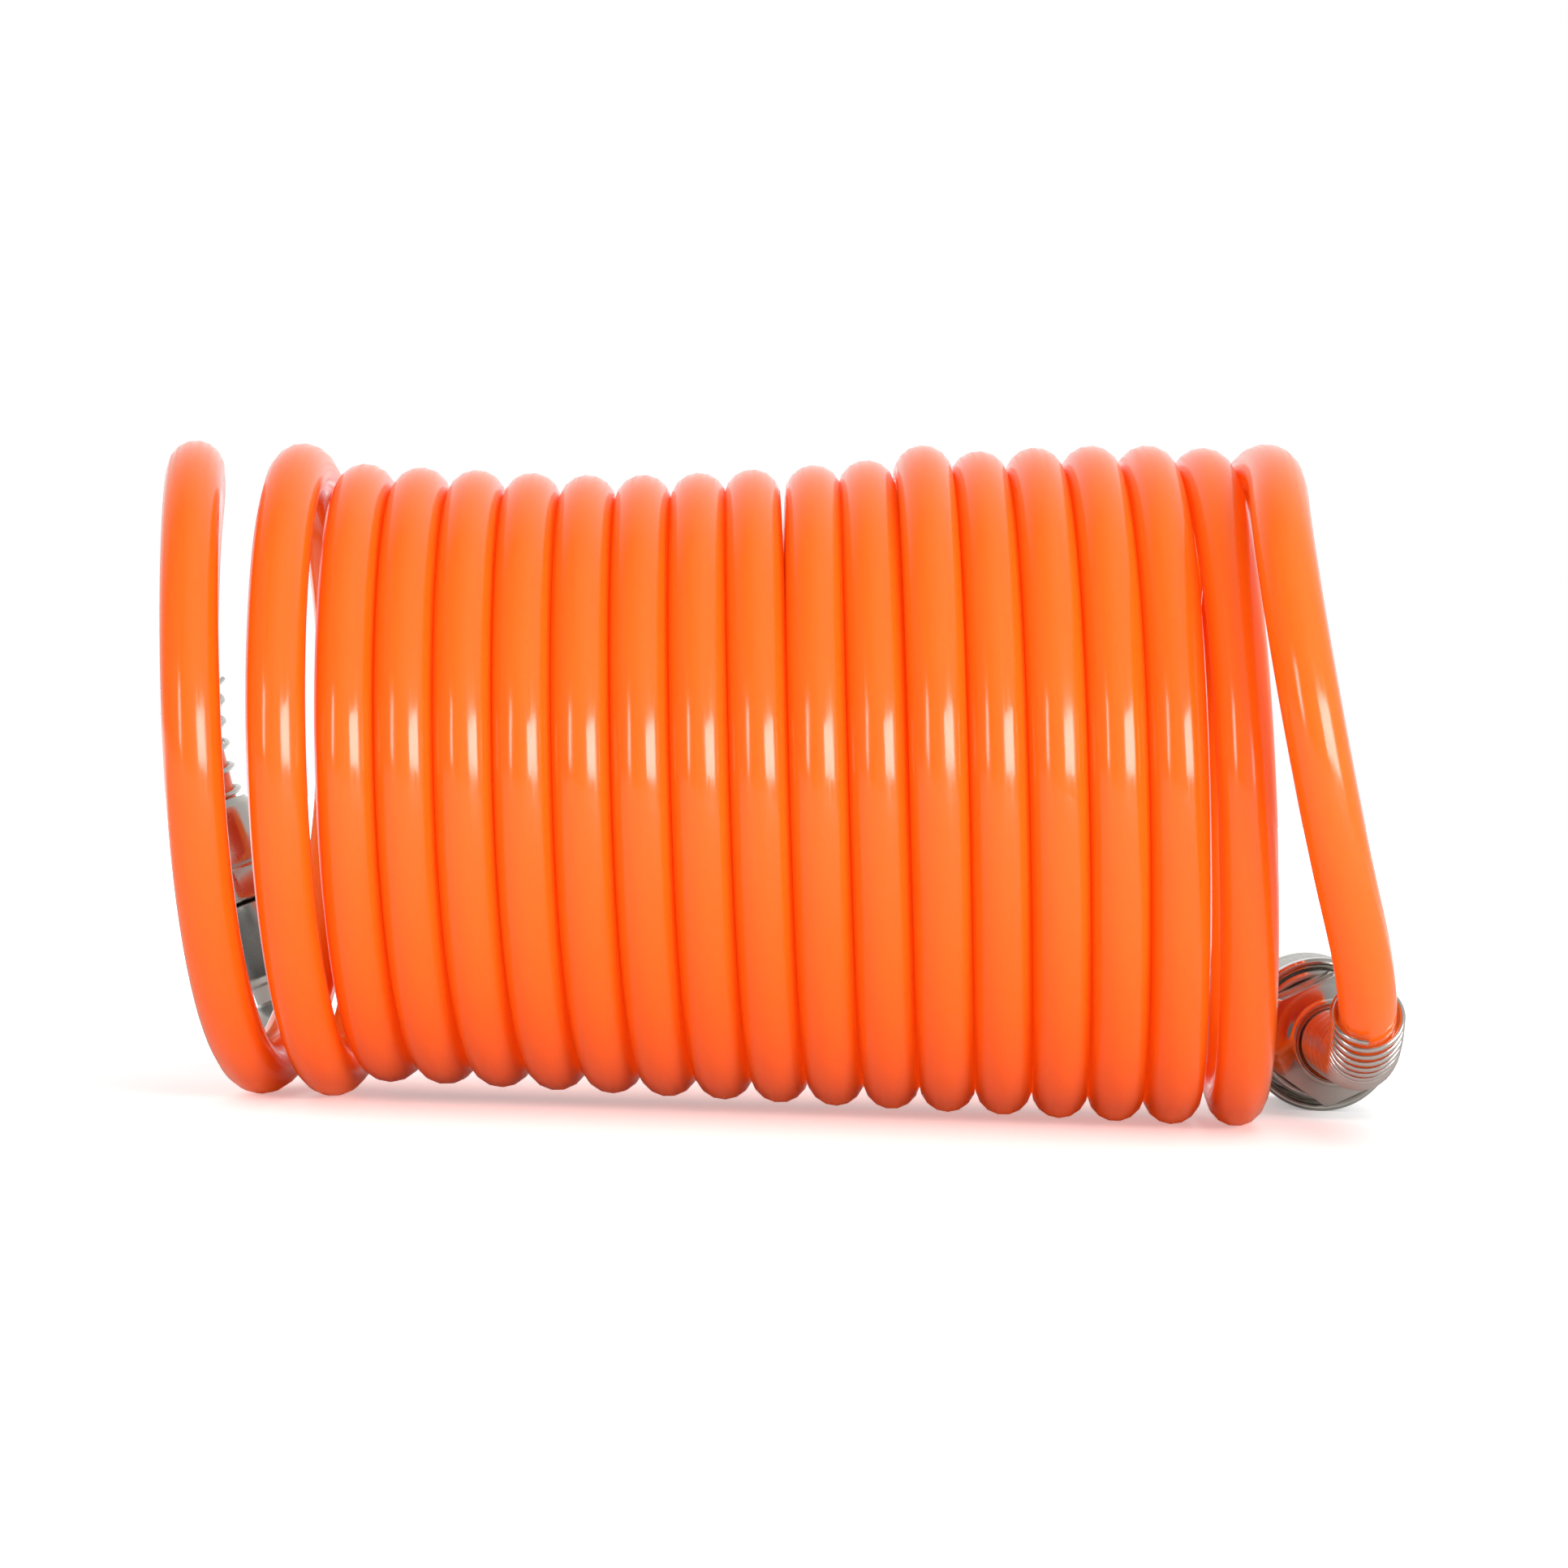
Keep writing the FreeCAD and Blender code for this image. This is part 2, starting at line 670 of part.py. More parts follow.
def valve_poppet():
    """Head, rear boss for its spring, and the open front tube with its four flow windows."""
    back = HEAD_START - BOSS_L
    front = SEAT_END + POPPET_REACH
    hollow_r = POPPET_R - POPPET_WALL
    poppet = turned(
        [
            (back, 0),
            (back, BOSS_R - FINE_EDGE),
            (back + FINE_EDGE, BOSS_R),
            (HEAD_START, BOSS_R),
            (HEAD_START, HEAD_R),
            (VALVE_SEAL_START, HEAD_R),
            (VALVE_SEAL_START, POPPET_R),
            (front - FINE_EDGE, POPPET_R),
            (front, POPPET_R - FINE_EDGE),
            (front, hollow_r),
            (VALVE_SEAL_START + POPPET_WALL, hollow_r),
            (VALVE_SEAL_START + POPPET_WALL, 0),
        ]
    )
    reach = POPPET_R + OVERCUT
    corner = Vector(-reach, -WINDOW_W / 2.0, SEAT_END + WINDOW_START)
    window = Part.makeBox(2.0 * reach, WINDOW_W, WINDOW_L, corner)
    crossing = window.copy()
    crossing.rotate(Vector(0, 0, 0), Vector(0, 0, 1), 90)
    return poppet.cut([window, crossing])


def valve_spring():
    inner = BOSS_R + VALVE_SPRING_CLEARANCE
    return tube(CHAMBER_START + RUNNING, HEAD_START - RUNNING, inner, inner + VALVE_WIRE_D)


def sleeve_spring():
    return tube(SHOULDER_END + RUNNING, WASHER_START - RUNNING, SPRING_R, SHOULDER_R)


def spring_washer():
    inner, outer = BODY_R + WASHER_CLEARANCE, SKIRT_R - WASHER_CLEARANCE
    return tube(WASHER_START, WASHER_START + WASHER_T, inner, outer)


def locking_ball(k):
    angle = math.radians(90 * k)
    centre = Vector(BALL_CENTRE_R * math.cos(angle), BALL_CENTRE_R * math.sin(angle), BALL_AT)
    return Part.makeSphere(BALL_R, centre)


def adapter_seal():
    return tube(HEX_END, BODY_START, BODY_THREAD_R, ADAPTER_AF / 2.0 - FINE_EDGE)


def valve_seal():
    return tube(VALVE_SEAL_START, VALVE_SEAL_START + VALVE_SEAL_T, POPPET_R, HEAD_R - VALVE_SEAL_STEP)


def socket_seal():
    """A seal ring with rounded flanks, as one turned solid."""
    start, end = O_RING_START + RUNNING, O_RING_END - RUNNING
    inner, outer = NOSE_R - O_RING_SQUEEZE, O_RING_GROOVE_R - RUNNING
    edge = min((end - start) / 4.0, (outer - inner) / 3.0)
    return turned(
        [
            (start + edge, inner),
            (start, inner + edge),
            (start, outer - edge),
            (start + edge, outer),
            (end - edge, outer),
            (end, outer - edge),
            (end, inner + edge),
            (end - edge, inner),
        ]
    )


# The plug
def plug_nut():
    """Turned cone with a hexagon at its inner end."""
    hex_start = PLUG_NUT_L - PLUG_NUT_HEX_L
    face_r = GUARD_SOCKET_R + PLUG_NUT_LIP
    bevel_r = face_r + PLUG_NUT_BEVEL
    cone = turned(
        [
            (0, 0),
            (0, face_r),
            (PLUG_NUT_BEVEL_L, bevel_r),
            (hex_start - PLUG_NUT_NECK_L, bevel_r + PLUG_NUT_FLARE),
            (hex_start, PLUG_NUT_AF / 2.0 - FINE_EDGE),
            (hex_start, 0),
        ]
    )
    hex_end = hexagon(hex_start, PLUG_NUT_L, PLUG_NUT_AF)
    return cone.fuse(hex_end).removeSplitter().cut(nut_hollow(PLUG_NUT_L))


def plug_body():
    """Stem, barrel, collar, locking groove and nose, turned in one."""
    front = turned(
        [
            (BARREL_START, FLOW_R),
            (BARREL_START, BARREL_R - EDGE),
            (BARREL_START + EDGE, BARREL_R),
            (COLLAR_START, BARREL_R),
            (COLLAR_START, COLLAR_R - EDGE),
            (COLLAR_START + EDGE, COLLAR_R),
            (GROOVE_START - EDGE, COLLAR_R),
            (GROOVE_START, COLLAR_R - EDGE),
            (GROOVE_START, LOCK_GROOVE_R),
            (NOSE_START - GROOVE_SLOPE_L, LOCK_GROOVE_R),
            (NOSE_START, NOSE_R),
            (PLUG_TIP - TIP_L, NOSE_R),
            (PLUG_TIP - TIP_FACE, NOSE_R - TIP_L / 2.0),
            (PLUG_TIP, NOSE_R - TIP_L),
            (PLUG_TIP, FLOW_R + TIP_L),
            (PLUG_TIP - TIP_L, FLOW_R),
        ]
    )
    return hose_stem(BARREL_START).fuse(front).removeSplitter()


# Assembly
coil, coil_ends, plug_end, coupler_end, coil_length = hose_coil()
to_coupler = coupler_route(*coupler_end)
to_plug = plug_route(*plug_end)
print("hose: whole length %.0f mm" % (coil_length + to_coupler.length + to_plug.length))

COUPLER_FACE = Vector(COUPLER_X, COUPLER_NUT_Y, SLEEVE_R)
COUPLER_AXIS = Vector(0, 1, 0)


def at_coupler(shape):
    return on_axis(shape, COUPLER_FACE, COUPLER_AXIS)


def at_plug(shape):
    return on_axis(shape, PLUG_NUT_FACE, PLUG_AXIS)


nodes = {
    "hose_coil": coil,
    "hose_coupler_tail": hose_tail("coupler tail", to_coupler, coil_ends[1]),
    "hose_plug_tail": hose_tail("plug tail", to_plug, coil_ends[0]),
    "coupler_guard_spring": guard_spring(
        "coupler guard", to_coupler, COUPLER_GUARD_PITCH, COUPLER_GUARD_TURNS
    ),
    "coupler_nut": at_coupler(coupler_nut()),
    "coupler_adapter": at_coupler(coupler_adapter()),
    "adapter_seal": at_coupler(adapter_seal()),
    "coupler_body": at_coupler(coupler_body()),
    "socket_seal": at_coupler(socket_seal()),
    "release_sleeve": at_coupler(release_sleeve()),
    "sleeve_spring": at_coupler(sleeve_spring()),
    "sleeve_spring_washer": at_coupler(spring_washer()),
    "sleeve_retaining_ring": at_coupler(retaining_ring()),
    "valve_poppet": at_coupler(valve_poppet()),
    "valve_seal": at_coupler(valve_seal()),
    "valve_spring": at_coupler(valve_spring()),
    "plug_guard_spring": guard_spring("plug guard", to_plug, PLUG_GUARD_PITCH, PLUG_GUARD_TURNS),
    "plug_nut": at_plug(plug_nut()),
    "plug_body": at_plug(plug_body()),
}
for k, place in enumerate(("right", "bottom", "left", "top")):
    nodes["locking_ball_" + place] = at_coupler(locking_ball(k))

os.makedirs("parts", exist_ok=True)
for name, shape in nodes.items():
    shape.translate(MIDDLE * -1)
    solids = shape.Solids
    print("%-24s %d solid, %9.1f mm3, valid %s" % (name, len(solids), shape.Volume, shape.isValid()))
    if len(solids) == 1:
        solids[0].exportStep("parts/%s.step" % name)
    else:
        Part.makeCompound(solids).exportStep("parts/%s.step" % name)
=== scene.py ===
import math

import bmesh
import bpy
from mathutils import Matrix, Vector


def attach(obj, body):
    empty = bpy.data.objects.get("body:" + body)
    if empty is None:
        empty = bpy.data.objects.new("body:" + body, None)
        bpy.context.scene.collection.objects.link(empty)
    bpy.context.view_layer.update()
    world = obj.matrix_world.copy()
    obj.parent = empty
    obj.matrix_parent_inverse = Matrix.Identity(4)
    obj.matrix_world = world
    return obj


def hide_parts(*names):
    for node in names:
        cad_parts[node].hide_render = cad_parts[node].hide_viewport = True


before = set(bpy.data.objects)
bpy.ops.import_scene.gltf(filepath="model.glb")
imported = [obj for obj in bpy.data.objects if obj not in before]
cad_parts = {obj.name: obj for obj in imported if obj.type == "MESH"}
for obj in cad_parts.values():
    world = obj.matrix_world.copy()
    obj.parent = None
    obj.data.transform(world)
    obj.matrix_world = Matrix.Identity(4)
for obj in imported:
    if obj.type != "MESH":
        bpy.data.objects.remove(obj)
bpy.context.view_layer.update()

# Coiled air hose: an orange polyurethane hose wound in 18 loops, with a sprung coupler at one end and a
# plug at the other. Its shapes are given in millimetres, as in the part's source, and made in metres
# round the point of the source that stands in the middle of the frame's floor.
MM = 0.001
MIDDLE = Vector((-3.36, 3.88, 0.0))

# Hose
HOSE_D = 8.42
PACKED_D = 8.62
HOSE_LENGTH_M = 5.33

# Coil; loop n passes the front of the coil at turn n
PITCH = 8.43
MIDDLE_TURN = 10.25
FIRST_TURN = 0.75
LAST_TURN = 18.75
POINTS_PER_TURN = 16
COIL_R = 42.4
LEAN = 0.03

# Slow changes from one end of the coil to the other, each with the turns between which it comes on
FIRST_LOOPS_WIDER = 2.8
FIRST_LOOPS_AT = (3.2, 1.8)
LAST_LOOPS_WIDER = 4.5
LAST_LOOPS_AT = (6.0, 17.5)
NARROW_LOOPS_LIFT = 2.4
LIFT_BEGINS = (2.2, 3.2)
LIFT_ENDS = (17.0, 4.0)
PACKED_FROM = (2.4, 2.9)
PACKED_UNTIL = (17.9, 17.4)

# The first loops stand apart, by so much times the square of the turns that are left to that turn
SPREAD = [
    (3.0, 2.2),
    (47.0, 1.0),
]
# Single places where the radius is larger: by how much, at which turn, and how far to each side
WIDER_AT = [
    (0.8, 12.85, 0.7),  # loop 13 stands up above its neighbours
    (2.2, 1.5, 0.27),  # the strand behind loops 1 and 2
]
# Single places where the hose is moved along the coil, towards the coupler's end if positive
MOVED_AT = [
    (1.4, 18.15, 0.42),  # loop 18 stands off from loop 17 in front
    (-0.9, 1.95, 0.45),  # loop 2 leans to loop 1, so that loops 2 and 3 part
    (2.2, 1.5, 0.27),  # the strand behind, out of sight of the opening between loops 2 and 3
    (0.45, 10.75, 0.2),  # loops 10 and 11 part at the top
    (-0.4, 9.75, 0.2),
]

# Ends of the hose in their nuts, and the guard springs of wound wire
STRAIGHT_BEFORE_NUT = 8.6
HOSE_IN_NUT = 10.9
GUARD_IN_NUT = 4.2
WIRE_D = 0.9
GUARD_BORE = 9.0
COUPLER_GUARD_PITCH = 2.1
COUPLER_GUARD_TURNS = 27
PLUG_GUARD_PITCH = 4.09
PLUG_GUARD_TURNS = 6.25

# The free ends of the hose, after the photograph
COUPLER_TAIL = [
    Vector((71.0, -26.0, 97.0)),
    Vector((70.2, -46.2, 87.1)),
    Vector((72.6, -58.1, 68.0)),
    Vector((78.1, -58.1, 43.0)),
    Vector((84.5, -46.8, 23.7)),
    Vector((86.2, -27.4, 12.6)),
    Vector((86.5, -4.6, 12.2)),
    Vector((86.5, 22.9, 12.2)),
]
PLUG_AXIS = Vector((0.4, 0.0, -0.9165)).normalized()
PLUG_NUT_FACE = Vector((-96.7, 62.0, 42.5))
PLUG_TAIL = [
    Vector((-94.5, 26.6, 93.8)),
    Vector((-98.0, 44.5, 85.7)),
    Vector((-99.9, 57.0, 70.5)),
    PLUG_NUT_FACE - PLUG_AXIS * STRAIGHT_BEFORE_NUT,
    PLUG_NUT_FACE + PLUG_AXIS * HOSE_IN_NUT,
]


# The hose's line
def ramp(t):
    """An eased rise from 0 to 1."""
    t = min(max(t, 0.0), 1.0)
    return t * t * (3.0 - 2.0 * t)


def part_way(turn, span):
    """How far the turn is from the span's first turn to its second."""
    return (turn - span[0]) / (span[1] - span[0])


def swell(turn, places):
    """The sum of the places' amounts, each of which rises at its turn and falls within its reach."""
    return sum(amount * ramp(1.0 - abs(turn - middle) / reach) for amount, middle, reach in places)


def hose_radius(turn):
    """The tube is a little fuller where its loops press on each other."""
    packed = ramp(part_way(turn, PACKED_FROM)) * ramp(part_way(turn, PACKED_UNTIL))
    return (HOSE_D + (PACKED_D - HOSE_D) * packed) / 2.0


def coil_point(turn, draw_out):
    """The hose's centre at that turn, with the loop's radius multiplied by draw_out."""
    angle = 2.0 * math.pi * turn
    radius = COIL_R + FIRST_LOOPS_WIDER * ramp(part_way(turn, FIRST_LOOPS_AT))
    radius += LAST_LOOPS_WIDER * ramp(part_way(turn, LAST_LOOPS_AT)) + swell(turn, WIDER_AT)
    fading = min(max(part_way(turn, LIFT_ENDS), 0.0), 1.0)
    height = radius + hose_radius(turn) + NARROW_LOOPS_LIFT * ramp(part_way(turn, LIFT_BEGINS)) * fading
    x = PITCH * (turn - MIDDLE_TURN) + LEAN * radius * math.sin(angle) + swell(turn, MOVED_AT)
    x -= sum(amount * max(end - turn, 0.0) ** 2 for amount, end in SPREAD)
    away = radius * draw_out
    return Vector((x, -away * math.cos(angle), height - away * math.sin(angle)))


# A smooth line runs inside its control points, so these are drawn out for it to keep a loop's radius
DRAW_OUT = 1.0 / math.cos(math.pi / POINTS_PER_TURN)
COIL_STEPS = int((LAST_TURN - FIRST_TURN) * POINTS_PER_TURN)
COIL_TURNS = [FIRST_TURN + step / POINTS_PER_TURN for step in range(COIL_STEPS + 1)]


def to_row(point):
    """A place of the part's source, in metres in the frame."""
    return (point - MIDDLE) * MM


def smooth_curve(name, points, radii, steps, sides):
    """A round tube on one smooth line; the points are the line's control points.

    The tube's radius is each point's own, on a bevel of 1, so that the curve's box is the tube's.
    """
    data = bpy.data.curves.new(name, "CURVE")
    data.dimensions = "3D"
    data.resolution_u = steps
    data.bevel_depth = 1.0 if max(radii) > 0.0 else 0.0
    data.bevel_resolution = sides
    data.use_fill_caps = max(radii) > 0.0
    spline = data.splines.new("NURBS")
    spline.points.add(len(points) - 1)
    for place, point, radius in zip(spline.points, points, radii):
        place.co = (*point, 1.0)
        place.radius = radius
    spline.order_u = 3
    spline.use_endpoint_u = True
    curve = bpy.data.objects.new(name, data)
    bpy.context.scene.collection.objects.link(curve)
    return curve


coil_line = [coil_point(turn, DRAW_OUT) for turn in COIL_TURNS]
hose_points = [to_row(point) for point in PLUG_TAIL[::-1] + coil_line + COUPLER_TAIL]
hose_radii = [HOSE_D / 2.0] * len(PLUG_TAIL) + [hose_radius(turn) for turn in COIL_TURNS]
hose_radii += [HOSE_D / 2.0] * len(COUPLER_TAIL)
hose = smooth_curve("hose", hose_points, [radius * MM for radius in hose_radii], steps=5, sides=6)
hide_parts("hose_coil", "hose_coupler_tail", "hose_plug_tail")
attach(hose, "hose")


# Guard springs
def centre_line(points):
    """Points along the smooth line itself, read from a bare curve."""
    bare = smooth_curve("bare_line", points, [0.0] * len(points), steps=12, sides=0)
    mesh = bpy.data.meshes.new_from_object(bare)
    line = [vertex.co.copy() for vertex in mesh.vertices]
    bpy.data.objects.remove(bare)
    bpy.data.meshes.remove(mesh)
    return line


def along(line, distance):
    """The place on the line at that distance from its start, and the direction there."""
    for a, b in zip(line, line[1:]):
        step = (b - a).length
        if distance <= step:
            return a.lerp(b, distance / step), (b - a).normalized()
        distance -= step
    way = (line[-1] - line[-2]).normalized()
    return line[-1] + way * distance, way


def guard_spring(name, line, pitch, turns, cut, replaced):
    """Wire wound round the hose from inside the nut to its cut end, which stands at that angle.

    The line starts at the hose's end in the nut. The wire starts its own thickness above the floor of
    the nut's pocket.
    """
    start = (HOSE_IN_NUT - GUARD_IN_NUT + WIRE_D) * MM
    radius = (GUARD_BORE + WIRE_D) / 2.0 * MM * DRAW_OUT
    side = Vector((1, 0, 0))
    points = []
    for step in range(int(turns * POINTS_PER_TURN) + 1):
        turn = step / POINTS_PER_TURN
        centre, way = along(line, start + pitch * MM * turn)
        across = (side - way * side.dot(way)).normalized()
        other = way.cross(across)
        angle = math.radians(cut) - 2.0 * math.pi * (turns - turn)
        points.append(centre + (across * math.cos(angle) + other * math.sin(angle)) * radius)
    spring = smooth_curve(name, points, [WIRE_D / 2.0 * MM] * len(points), steps=3, sides=3)
    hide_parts(replaced)
    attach(spring, "hose")
    return spring


hose_line = centre_line(hose_points)
coupler_guard = guard_spring(
    "coupler_guard",
    hose_line[::-1],
    COUPLER_GUARD_PITCH,
    COUPLER_GUARD_TURNS,
    cut=-90.0,
    replaced="coupler_guard_spring",
)
plug_guard = guard_spring(
    "plug_guard",
    hose_line,
    PLUG_GUARD_PITCH,
    PLUG_GUARD_TURNS,
    cut=0.0,
    replaced="plug_guard_spring",
)


# Materials
def linear(colour):
    """Linear red, green, blue and a full alpha from an sRGB hex value."""
    parts = [int(colour[k : k + 2], 16) / 255.0 for k in (1, 3, 5)]
    return [c / 12.92 if c <= 0.04045 else ((c + 0.055) / 1.055) ** 2.4 for c in parts] + [1.0]


def node(tree, kind, settings=None, links=None, **values):
    """A new node; values are its properties, settings its sockets' values and links what feeds them."""
    made = tree.nodes.new(kind)
    for key, value in values.items():
        setattr(made, key, value)
    for key, value in (settings or {}).items():
        made.inputs[key].default_value = value
    for key, source in (links or {}).items():
        tree.links.new(source, made.inputs[key])
    return made


def surface(name):
    """A new material with its node tree emptied but for the shader and the output."""
    material = bpy.data.materials.new(name)
    material.use_nodes = True
    tree = material.node_tree
    tree.nodes.clear()
    shader = node(tree, "ShaderNodeBsdfPrincipled")
    node(tree, "ShaderNodeOutputMaterial", links={"Surface": shader.outputs["BSDF"]})
    return material, tree, shader


def speckle_scale(size):
    """The noise texture's scale for speckles of that size in millimetres."""
    return 1.0 / (size * MM)


def line_scale(spacing):
    """The wave texture's scale for lines that far apart in millimetres; its own repeat is 2 pi / 20."""
    return 2.0 * math.pi / 20.0 / (spacing * MM)


# The marks that the die leaves are drawn wider than real ones, so that they show, and long and narrow
DRAW_MARK = 0.6
DRAW_STRETCH = 40.0


def along_hose(tree):
    """A place on the hose's skin, drawn out along the hose, from the tube's own map: length, then girth."""
    split = node(
        tree,
        "ShaderNodeSeparateXYZ",
        links={"Vector": node(tree, "ShaderNodeTexCoord").outputs["UV"]},
    )
    length = node(
        tree,
        "ShaderNodeMath",
        {1: HOSE_LENGTH_M / DRAW_STRETCH},
        {0: split.outputs["X"]},
        operation="MULTIPLY",
    )
    turn = node(tree, "ShaderNodeMath", {1: 2.0 * math.pi}, {0: split.outputs["Y"]}, operation="MULTIPLY")
    sides = []
    for operation in ("COSINE", "SINE"):
        unit = node(tree, "ShaderNodeMath", links={0: turn.outputs["Value"]}, operation=operation)
        wide = node(
            tree,
            "ShaderNodeMath",
            {1: HOSE_D * MM / 2.0},
            {0: unit.outputs["Value"]},
            operation="MULTIPLY",
        )
        sides.append(wide.outputs["Value"])
    place = node(
        tree,
        "ShaderNodeCombineXYZ",
        links={"X": length.outputs["Value"], "Y": sides[0], "Z": sides[1]},
    )
    return place.outputs["Vector"]


# Extruded orange polyurethane: glossy, with fine draw marks along its length, and a little translucent.
# The narrow grooves between its loops get a painted red glow, standing in for the light that the wall
# carries into them.
TONE_PATCH = 28.0
GROOVE = 4.0
# Strength of the painted glow, emission in the hose's tint, where a groove is most closed in
PAINTED_GROOVE_GLOW = 0.13


def extruded_polyurethane():
    material, tree, shader = surface("extruded_polyurethane")
    cloud = node(
        tree,
        "ShaderNodeTexNoise",
        {"Scale": speckle_scale(TONE_PATCH), "Detail": 3.0, "Roughness": 0.5},
        {"Vector": node(tree, "ShaderNodeTexCoord").outputs["Object"]},
    )
    tint = node(
        tree,
        "ShaderNodeMix",
        {"A": linear("#FF650E"), "B": linear("#FF6D15")},
        {"Factor": cloud.outputs["Fac"]},
        data_type="RGBA",
    )
    drawn = node(
        tree,
        "ShaderNodeTexNoise",
        {"Scale": speckle_scale(DRAW_MARK), "Detail": 2.0, "Roughness": 0.6},
        {"Vector": along_hose(tree)},
    )
    gloss = node(
        tree,
        "ShaderNodeMapRange",
        {"From Min": 0.35, "From Max": 0.75, "To Min": 0.1, "To Max": 0.24},
        {"Value": drawn.outputs["Fac"]},
    )
    bump = node(
        tree,
        "ShaderNodeBump",
        {"Strength": 0.12, "Distance": 0.06 * MM},
        {"Height": drawn.outputs["Fac"]},
    )
    # Painted glow: ambient occlusion finds the grooves between loops, and there the hose emits its own tint
    open_to_light = node(tree, "ShaderNodeAmbientOcclusion", {"Distance": GROOVE * MM}, samples=8)
    painted_glow = node(
        tree,
        "ShaderNodeMapRange",
        {"From Min": 0.1, "From Max": 0.6, "To Min": PAINTED_GROOVE_GLOW, "To Max": 0.0},
        {"Value": open_to_light.outputs["AO"]},
    )
    tree.links.new(tint.outputs["Result"], shader.inputs["Base Color"])
    # The tint is both the base colour and the colour of the painted groove glow
    tree.links.new(tint.outputs["Result"], shader.inputs["Emission Color"])
    tree.links.new(painted_glow.outputs["Result"], shader.inputs["Emission Strength"])
    tree.links.new(gloss.outputs["Result"], shader.inputs["Roughness"])
    tree.links.new(bump.outputs["Normal"], shader.inputs["Normal"])
    shader.inputs["IOR"].default_value = 1.54
    shader.inputs["Subsurface Weight"].default_value = 0.2
    shader.inputs["Subsurface Radius"].default_value = (1.0, 0.2, 0.06)
    shader.inputs["Subsurface Scale"].default_value = 3.0 * MM
    return material


# Bright turned metal, nickel plate or ground steel: near mirror, faintly yellow, clouded here and there,
# with turning lines across its axis that are drawn wider than real ones, so that they show.
POLISH_PATCH = 6.0
ROUNDED_EDGE = 0.18


def turned_bright_metal(name, axis, lines, roughness):
    material, tree, shader = surface(name)
    place = node(tree, "ShaderNodeTexCoord").outputs["Object"]
    wave = node(
        tree,
        "ShaderNodeTexWave",
        {"Scale": line_scale(lines)},
        {"Vector": place},
        bands_direction=axis,
    )
    cloud = node(
        tree,
        "ShaderNodeTexNoise",
        {"Scale": speckle_scale(POLISH_PATCH), "Detail": 4.0, "Roughness": 0.6},
        {"Vector": place},
    )
    polish = node(
        tree,
        "ShaderNodeMapRange",
        {"From Min": 0.3, "From Max": 0.75, "To Min": roughness * 0.7, "To Max": roughness * 1.6},
        {"Value": cloud.outputs["Fac"]},
    )
    edge = node(tree, "ShaderNodeBevel", {"Radius": ROUNDED_EDGE * MM}, samples=4)
    bump = node(
        tree,
        "ShaderNodeBump",
        {"Strength": 0.12, "Distance": 0.04 * MM},
        {"Height": wave.outputs["Fac"], "Normal": edge.outputs["Normal"]},
    )
    shader.inputs["Base Color"].default_value = linear("#CFCBC4")
    shader.inputs["Metallic"].default_value = 1.0
    tree.links.new(polish.outputs["Result"], shader.inputs["Roughness"])
    tree.links.new(bump.outputs["Normal"], shader.inputs["Normal"])
    return material


# Drawn spring wire, nickel plated: bright and slightly streaked.
WIRE_STREAK = 0.7


def plated_wire():
    material, tree, shader = surface("plated_spring_wire")
    streak = node(
        tree,
        "ShaderNodeTexNoise",
        {"Scale": speckle_scale(WIRE_STREAK), "Detail": 2.0},
        {"Vector": node(tree, "ShaderNodeTexCoord").outputs["Object"]},
    )
    polish = node(
        tree,
        "ShaderNodeMapRange",
        {"From Min": 0.3, "From Max": 0.7, "To Min": 0.12, "To Max": 0.26},
        {"Value": streak.outputs["Fac"]},
    )
    shader.inputs["Base Color"].default_value = linear("#D4D0CA")
    shader.inputs["Metallic"].default_value = 1.0
    tree.links.new(polish.outputs["Result"], shader.inputs["Roughness"])
    return material


# Moulded nitrile rubber: matt black with a faint grain.
RUBBER_GRAIN = 0.4


def nitrile_rubber():
    material, tree, shader = surface("moulded_nitrile_rubber")
    grain = node(
        tree,
        "ShaderNodeTexNoise",
        {"Scale": speckle_scale(RUBBER_GRAIN), "Detail": 3.0},
        {"Vector": node(tree, "ShaderNodeTexCoord").outputs["Object"]},
    )
    bump = node(
        tree,
        "ShaderNodeBump",
        {"Strength": 0.2, "Distance": 0.03 * MM},
        {"Height": grain.outputs["Fac"]},
    )
    shader.inputs["Base Color"].default_value = linear("#1D1D1F")
    shader.inputs["Roughness"].default_value = 0.6
    tree.links.new(bump.outputs["Normal"], shader.inputs["Normal"])
    return material


# Turned brass, left bare: warm yellow with tool lines, drawn wider than real ones.
BRASS_LINES = 1.57


def turned_brass():
    material, tree, shader = surface("turned_brass")
    lines = node(
        tree,
        "ShaderNodeTexWave",
        {"Scale": line_scale(BRASS_LINES)},
        {"Vector": node(tree, "ShaderNodeTexCoord").outputs["Object"]},
        bands_direction="Y",
    )
    bump = node(
        tree,
        "ShaderNodeBump",
        {"Strength": 0.15, "Distance": 0.04 * MM},
        {"Height": lines.outputs["Fac"]},
    )
    shader.inputs["Base Color"].default_value = linear("#C9A55A")
    shader.inputs["Metallic"].default_value = 1.0
    shader.inputs["Roughness"].default_value = 0.25
    tree.links.new(bump.outputs["Normal"], shader.inputs["Normal"])
    return material


polyurethane = extruded_polyurethane()
coupler_nickel = turned_bright_metal("nickel_plate_coupler", axis="Y", lines=1.57, roughness=0.14)
plug_nickel = turned_bright_metal("nickel_plate_plug", axis="Z", lines=2.83, roughness=0.22)
steel = turned_bright_metal("ground_bright_steel", axis="Y", lines=1.26, roughness=0.2)
wire = plated_wire()
rubber = nitrile_rubber()
brass = turned_brass()


def finish_with(material, *pieces):
    """Gives the material to each piece; a CAD piece is given by its name."""
    for piece in pieces:
        piece = bpy.data.objects[piece] if isinstance(piece, str) else piece
        piece.data.materials.clear()
        piece.data.materials.append(material)


# Turned metal pieces: the modelled shapes, merged and shaded smooth between their edges
REAL_EDGE = math.radians(28.0)
SAME_PLACE = 0.001 * MM


